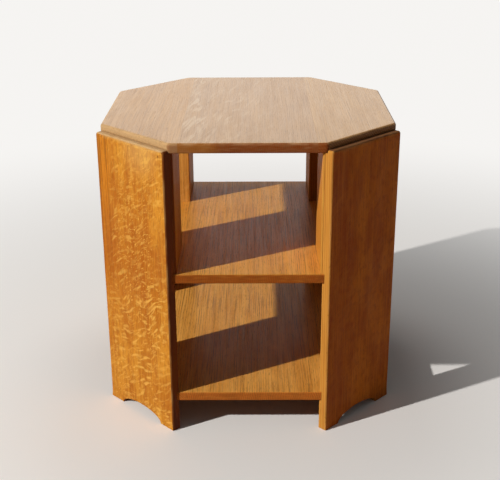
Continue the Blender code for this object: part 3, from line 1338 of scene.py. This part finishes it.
@dataclass
class SlabPanels:
    """The four upright panels, each with an arch at its foot.

    The levels are those of the two housings for the shelves and of the rebate for the top.
    """

    timbers: dict[Corner, Timber]
    oak: Oak = PANEL_OAK
    width: float = PANEL_WIDTH
    thickness: float = BOARD_THICKNESS
    height: float = PANEL_HEIGHT
    inner: float = PANEL_INNER
    outer_arris: float = 0.004
    inner_arris: float = 0.001
    corner_radius: float = CORNER_RADIUS
    foot_radius: float = 0.0015
    corner_steps: int = 7
    arch_span: float = 0.124
    arch_rise: float = 0.019
    arch_steps: int = 44
    housing: float = 0.006
    clearance: float = 0.0002
    levels: tuple[Pair, ...] = ((0.067, 0.086), (0.328, 0.347), (0.591, 0.620))

    def rounding(self, radius: float) -> list[Vector]:
        """One rounded corner of the panel's face, at its right foot.

        Args:
            radius: The rounding's radius.

        Returns:
            Its points from the foot upwards.
        """
        made = []
        for step in range(self.corner_steps + 1):
            turn = QUARTER_TURN * step / self.corner_steps
            side = self.width / 2 - radius + radius * math.sin(turn)
            made.append(Vector((side, radius - radius * math.cos(turn))))
        return made

    def outline(self) -> list[Vector]:
        """The panel's face, anticlockwise from the left foot.

        Returns:
            Its corners, with side as x and height as y.
        """
        foot = self.rounding(self.foot_radius)
        arch = []
        for step in range(self.arch_steps + 1):
            turn = math.pi * (1 - step / self.arch_steps)
            arch.append(Vector((self.arch_span / 2 * math.cos(turn), self.arch_rise * math.sin(turn))))
        shoulder = self.rounding(self.corner_radius)
        top = [Vector((point.x, self.height - point.y)) for point in reversed(shoulder)]
        left_top = [Vector((-point.x, point.y)) for point in reversed(top)]
        left_foot = [Vector((-point.x, point.y)) for point in reversed(foot)]
        return left_foot + arch + foot + top + left_top

    def cutter(self) -> bpy.types.Object:
        """What is cut from a panel: the rebate for the top and the housings.

        Returns:
            A cutter in the panel's own frame.
        """
        bm = bmesh.new()
        deep = self.housing + self.clearance
        for bottom, top in self.levels:
            low = Vector((-self.thickness, -self.width, bottom - self.clearance))
            high = Vector((deep, self.width, top + self.clearance))
            matrix = Matrix.Translation((low + high) / 2) @ Matrix.Diagonal((*(high - low), 1.0))
            bmesh.ops.create_cube(bm, size=1.0, matrix=matrix)
        return put("panel_cutter", mesh_from(bm, "panel_cutter"))

    def cut_slab(self, slab: Slab, name: str) -> bpy.types.Mesh:
        """Loft a panel and cut its rebate and housings.

        Args:
            slab: The panel before it is cut.
            name: The mesh's name.

        Returns:
            The cut mesh in the panel's own frame.
        """
        bm = slab.loft()
        upright = Matrix(((0, 0, 1, 0), (1, 0, 0, 0), (0, 1, 0, 0), (0, 0, 0, 1)))
        bmesh.ops.transform(bm, matrix=upright, verts=bm.verts)
        blank = put(f"{name}_blank", mesh_from(bm, f"{name}_blank"))
        cutter = self.cutter()
        modifier = blank.modifiers.new("housings", "BOOLEAN")
        modifier.operation = "DIFFERENCE"
        modifier.solver = "EXACT"
        modifier.object = cutter
        view = bpy.context.evaluated_depsgraph_get()
        mesh = bpy.data.meshes.new_from_object(blank.evaluated_get(view))
        for thing in (blank, cutter):
            data = thing.data
            bpy.data.objects.remove(thing)
            bpy.data.meshes.remove(data)
        mesh.name = name
        smooth(mesh)
        return mesh

    def build(self) -> None:
        """Make and dress the panels."""
        outline = self.outline()
        for corner in Corner:
            timber = self.timbers[corner]
            slab = Slab(outline, [Edge.ROUNDED] * len(outline), self.thickness, self.outer_arris,
                        self.inner_arris, timber.seed, worn_band=0.0, unevenness=RubbedShoulder())
            name = f"oak_panel_{corner.label}"
            seat = corner.turn @ Matrix.Translation((self.inner, 0, 0))
            piece = put(name, self.cut_slab(slab, name), seat)
            self.oak.dress(piece, timber, Lie.UPRIGHT_FACING_X)
            hand_over(piece, f"panel_{corner.label}")


@dataclass
class BookEnds:
    """The upright boards that close the corners of the upper tier, mitred together in pairs."""

    timbers: dict[str, Timber]
    oak: Oak = BOOKEND_OAK
    thickness: float = 0.012
    bay_half_width: float = 0.1395934
    panel_inner: float = PANEL_INNER
    panel_width: float = PANEL_WIDTH
    bottom: float = 0.3472
    top: float = 0.5908
    glue_line: float = 0.0003
    mitre_flat: float = 0.0008
    arris: float = 0.0009
    arris_steps: int = 3
    reach: float = 0.6

    def outline(self) -> list[Vector]:
        """One board's plan in its corner's frame: x out along the diagonal and y along the panel.

        Returns:
            Its corners, anticlockwise.
        """
        along_bay = Vector((1, -1)) / ROOT_2
        out = Vector((1, 0))
        side = Vector((0, 1))
        plan = [Vector(p) for p in ((0, 0), (self.reach, 0), (self.reach, self.reach), (0, self.reach))]
        plan = saw(plan, -along_bay, -self.bay_half_width)
        plan = saw(plan, along_bay, self.bay_half_width + self.thickness)
        plan = saw(plan, side, self.panel_width / 2)
        plan = saw(plan, -side, -self.glue_line / 2)
        plan = saw(plan, -out, -self.bay_half_width * ROOT_2 - self.mitre_flat)
        return saw(plan, out, self.panel_inner - self.glue_line)

    def names(self) -> dict[Corner, tuple[str, str]]:
        """The two boards of each corner, by the bay that each one faces."""
        return {
            Corner.BACK_RIGHT: ("back_bay_right", "right_bay_back"),
            Corner.BACK_LEFT: ("left_bay_back", "back_bay_left"),
            Corner.FRONT_LEFT: ("front_bay_left", "left_bay_front"),
            Corner.FRONT_RIGHT: ("right_bay_front", "front_bay_right"),
        }

    def build(self) -> None:
        """Make and dress the boards."""
        plan = self.outline()
        mirrored = [Vector((point.x, -point.y)) for point in reversed(plan)]
        seat = Matrix.Translation((0, 0, self.bottom))
        for corner, names in self.names().items():
            turn = corner.turn.to_2x2()
            for label, own in zip(names, (plan, mirrored)):
                eased = ease_corners([turn @ point for point in own], self.arris, self.arris_steps)
                slab = Slab(eased, [Edge.SQUARE] * len(eased), self.top - self.bottom)
                name = f"oak_bookend_{label}"
                piece = put(name, mesh_from(slab.loft(), name), seat)
                along_y = label.startswith(("front_bay", "back_bay"))
                lie = Lie.UPRIGHT_FACING_X if along_y else Lie.UPRIGHT_FACING_Y
                self.oak.dress(piece, self.timbers[label], lie)
                hand_over(piece, f"bookend_{label}")


@dataclass
class HiddenFixings:
    """The blocks and screws inside the closed corners, which keep their CAD shapes."""

    softwood: Softwood = field(default_factory=Softwood)
    steel: ScrewSteel = field(default_factory=ScrewSteel)

    def build(self) -> None:
        """Dress the CAD nodes in place of their plain finish."""
        for name, node in sorted(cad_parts.items()):
            if name.startswith("corner_block"):
                material = self.softwood.material(f"{node.name}_softwood")
            elif "screw" in name:
                material = self.steel.material(f"{node.name}_steel")
            else:
                continue
            node.data.materials.clear()
            node.data.materials.append(material)
            log.info("%s dressed in %s", name, material.name)


def seen(bench: NodeBench) -> Socket:
    """Tell what the camera sees from what lights the table.

    Args:
        bench: The bench of the floor's material or the world.

    Returns:
        1 for what the camera sees, straight or in gloss or glass, and otherwise 0.
    """
    path = bench.node("ShaderNodeLightPath")
    direct = bench.most(path.outputs["Is Camera Ray"], path.outputs["Is Glossy Ray"])
    return bench.most(direct, path.outputs["Is Transmission Ray"])


@dataclass(frozen=True)
class PaleFloor:
    """A plain floor that takes the table's shadow, and looks paler the further off it is."""

    lighting: Colour = (0.40, 0.24, 0.12)
    near_and_far: Pair = (0.26, 2.1)
    roughness: float = 0.85
    specular: float = 0.15

    def material(self) -> bpy.types.Material:
        """Make the finish.

        Returns:
            The material.
        """
        bench = FinishBench("pale_floor")
        place = bench.node("ShaderNodeTexCoord").outputs["Object"]
        sight = seen(bench)
        bench.finish(
            base_color=bench.blend(sight, self.lighting, PALE),
            roughness=self.roughness,
            specular_ior_level=self.specular,
        )
        glow = bench.node("ShaderNodeEmission")
        glow.inputs["Color"].default_value = (*PALE, 1.0)
        far = bench.step(bench.distance(place, (0.0, 0.0, 0.0)), *self.near_and_far)
        both = bench.node("ShaderNodeMixShader")
        mixed = (bench.times(far, sight), bench.shader.outputs[0], glow.outputs[0])
        for socket, value in zip(both.inputs, mixed):
            bench.feed(socket, value)
        bench.feed(bench.tree.nodes["Material Output"].inputs["Surface"], both.outputs[0])
        return bench.material


@dataclass(frozen=True)
class Lamp:
    """One soft lamp: where it hangs, the side of its square face, its power in watts and its colour."""

    name: str
    place: Triple
    size: float
    power: float
    colour: Colour

    def hang(self, aim: Triple) -> None:
        """Hang the lamp, not itself seen, not in the polish either.

        Args:
            aim: Where it points.
        """
        data = bpy.data.lights.new(self.name, "AREA")
        data.shape = "SQUARE"
        data.size = self.size
        data.energy = self.power
        data.color = self.colour
        lamp = put(self.name, data)
        lamp.visible_camera = False
        lamp.visible_glossy = False
        lamp.location = self.place
        lamp.rotation_mode = "QUATERNION"
        lamp.rotation_quaternion = (Vector(aim) - Vector(self.place)).to_track_quat("-Z", "Y")


@dataclass
class Studio:
    """A plain pale floor, soft light and the photograph's camera."""

    lens: float = 69.16
    sensor: float = 36.0
    clip_end: float = 200.0
    position: Triple = (0.0139, -1.9991, 1.0914)
    yaw: float = math.radians(-0.351)
    pitch: float = math.radians(21.493)
    roll: float = math.radians(-0.296)
    floor: PaleFloor = PaleFloor()
    floor_size: float = 60.0
    front_and_back_light: Pair = (0.065, 0.13)
    low_and_high_light: Pair = (0.36, 1.60)
    high: float = 0.8
    ceiling: float = 0.30
    ceiling_fade: Pair = (0.22, 0.55)
    aim: Triple = (0.0, 0.0, 0.32)
    lamps: tuple[Lamp, ...] = (
        Lamp("key", (-9.00, -5.20, 6.32), 0.22, 1520.0, (1.0, 0.97, 0.93)),
        Lamp("above", (0.0, 0.30, 1.60), 0.40, 3.0, (1.0, 0.99, 0.97)),
    )

    def set_camera(self) -> None:
        """Set up the camera at the photograph's viewing angle."""
        data = bpy.data.cameras.new("camera")
        data.lens = self.lens
        data.sensor_width = self.sensor
        data.clip_end = self.clip_end
        ahead = Vector((
            math.sin(self.yaw) * math.cos(self.pitch),
            math.cos(self.yaw) * math.cos(self.pitch),
            -math.sin(self.pitch),
        ))
        level = Vector((math.cos(self.yaw), -math.sin(self.yaw), 0.0))
        right = math.cos(self.roll) * level + math.sin(self.roll) * level.cross(ahead)
        matrix = Matrix((right, right.cross(ahead), -ahead)).transposed().to_4x4()
        matrix.translation = self.position
        bpy.context.scene.camera = put("camera", data, matrix)

    def lay_floor(self) -> None:
        """Lay the floor."""
        bm = bmesh.new()
        bmesh.ops.create_grid(bm, x_segments=1, y_segments=1, size=self.floor_size / 2)
        floor = put("floor", mesh_from(bm, "floor"))
        floor.data.materials.append(self.floor.material())

    def set_world(self) -> None:
        """Set the even light from all round, and the pale surroundings that the camera and gloss see."""
        world = bpy.data.worlds.new("studio")
        world.use_nodes = True
        bench = NodeBench(world.node_tree)
        surround = world.node_tree.nodes["Background"]
        surround.inputs["Color"].default_value = (*PALE, 1.0)
        towards = bench.split(bench.node("ShaderNodeTexCoord").outputs["Generated"])
        even = bench.span(towards["Y"], *self.front_and_back_light, -1.0, 1.0)
        even = bench.times(even, bench.span(towards["Z"], *self.low_and_high_light, 0.0, self.high))
        pale = bench.times(seen(bench), bench.span(towards["Z"], 1.0, self.ceiling, *self.ceiling_fade))
        bench.feed(surround.inputs["Strength"], bench.most(pale, even))
        bpy.context.scene.world = world

    def build(self) -> None:
        """Set up the whole studio."""
        self.set_camera()
        self.lay_floor()
        self.set_world()
        for lamp in self.lamps:
            lamp.hang(self.aim)
        bpy.context.scene.view_settings.view_transform = "Standard"
        log.info("studio set")


def table_parts() -> list[Deck | SlabPanels | BookEnds | HiddenFixings]:
    """The table's sub-assemblies with each board's own figure.

    Returns:
        The sub-assemblies in the order that they are made.
    """
    bare = BareStretch(-0.11, 0.06)
    # painted shade: these dark edge factors stand in for the shade on edges that face away from the light
    shade_painted_edges = (0.29, 0.14, 0.24)
    top = Deck("top", 0.610, TOP_OAK, {
        # painted light and shade: the left board's edges are lighter on the lit side, the right board's
        # edges darker on the shaded side
        "left": Timber(3, Cut.RIFT, (1.06, 1.04, 0.97), 0.25, edges=(0.93, 1.50, 4.40), bare=bare),
        "centre": Timber(7, Cut.QUARTERED, (0.96, 0.98, 1.04), 0.60, lean=-1.0, bare=bare),
        "right": Timber(12, Cut.PLAIN, (1.02, 1.02, 0.95), 0.20, edges=(0.58, 0.60, 1.0)),
    }, arris=0.005, lower_arris=0.009, eased=0.005,
        free_edge=Edge.ROUNDED_LESS_BELOW, diagonal_edge=Edge.ROUNDED)
    mid_shelf = Deck("mid_shelf", 0.347, SHELF_OAK, {
        "left": Timber(21, Cut.RIFT, (1.0, 0.98, 0.95), 0.15),
        "centre": Timber(24, Cut.QUARTERED, fleck=0.20),
        "right": Timber(28, Cut.RIFT, (0.98, 0.96, 0.94), 0.15),
    })
    low_shelf = Deck("low_shelf", 0.086, LOW_SHELF_OAK, {
        "left": Timber(31, Cut.RIFT, fleck=0.15, ends=1.45),
        "centre": Timber(35, Cut.QUARTERED, (1.0, 0.98, 0.96), 0.20, ends=1.45),
        "right": Timber(38, Cut.RIFT, (1.02, 1.0, 0.97), 0.15, ends=1.45),
    })
    panels = SlabPanels({
        # painted shade: this panel's edges are darkened, standing in for the shade on them
        Corner.BACK_RIGHT: Timber(41, Cut.RIFT, (0.94, 0.90, 0.88), 0.45, edges=(0.7, 0.7, 0.7), ends=0.60),
        Corner.BACK_LEFT: Timber(
            45, Cut.QUARTERED, (0.96, 0.94, 0.92), 0.80, ends=0.70, band=SideBand(0.058, 1.0, -1.0),
        ),
        # painted shade on this panel's long edges, through the dark edge factors
        Corner.FRONT_LEFT: Timber(
            52, Cut.QUARTERED, (1.03, 1.09, 1.08), lean=0.35, edges=shade_painted_edges, calm=0.40,
            band=SideBand(-0.063, -1.0, 0.16), marks=(Spot(0.089, 0.585, 0.0035),),
            ruddy=(Spot(-0.05, 0.34, 0.19),), pale=(Spot(0.035, 0.590, 0.075),),
        ),
        # painted shade and light: the low end factor darkens the top lip lying in the top's shade; the
        # redder tone is partly painted warm bounce light on the shaded face, on top of the board's own tone
        Corner.FRONT_RIGHT: Timber(
            57, Cut.RIFT, (1.18, 0.97, 0.95), 0.15, edges=(0.86, 1.02, 1.0), ends=0.20,
            marks=(Spot(0.088, 0.37, 0.0025),),
        ),
    })
    bookends = BookEnds({
        # painted shade on this board's edges, through the dark edge factors
        "front_bay_left": Timber(60, Cut.RIFT, fleck=0.25, edges=shade_painted_edges),
        "front_bay_right": Timber(63, Cut.RIFT, fleck=0.25),
        "back_bay_left": Timber(66, Cut.RIFT, fleck=0.25),
        "back_bay_right": Timber(69, Cut.RIFT, fleck=0.25),
        "left_bay_front": Timber(72, Cut.RIFT, fleck=0.25),
        # painted light: this board's tone is raised, standing in for the light on its lit face
        "left_bay_back": Timber(75, Cut.RIFT, (1.15, 1.30, 1.80), 0.25),
        "right_bay_front": Timber(78, Cut.RIFT, fleck=0.25),
        # painted shade: this board's tone is lowered, standing in for the shade on it
        "right_bay_back": Timber(81, Cut.RIFT, (0.60, 0.52, 0.45), 0.15),
    })
    return [top, mid_shelf, low_shelf, panels, bookends, HiddenFixings()]


def main() -> None:
    """Build the studio and the dressed table."""
    logging.basicConfig(level=logging.INFO, format="%(message)s")
    Studio().build()
    for part in table_parts():
        part.build()


if __name__ == "__main__":
    main()
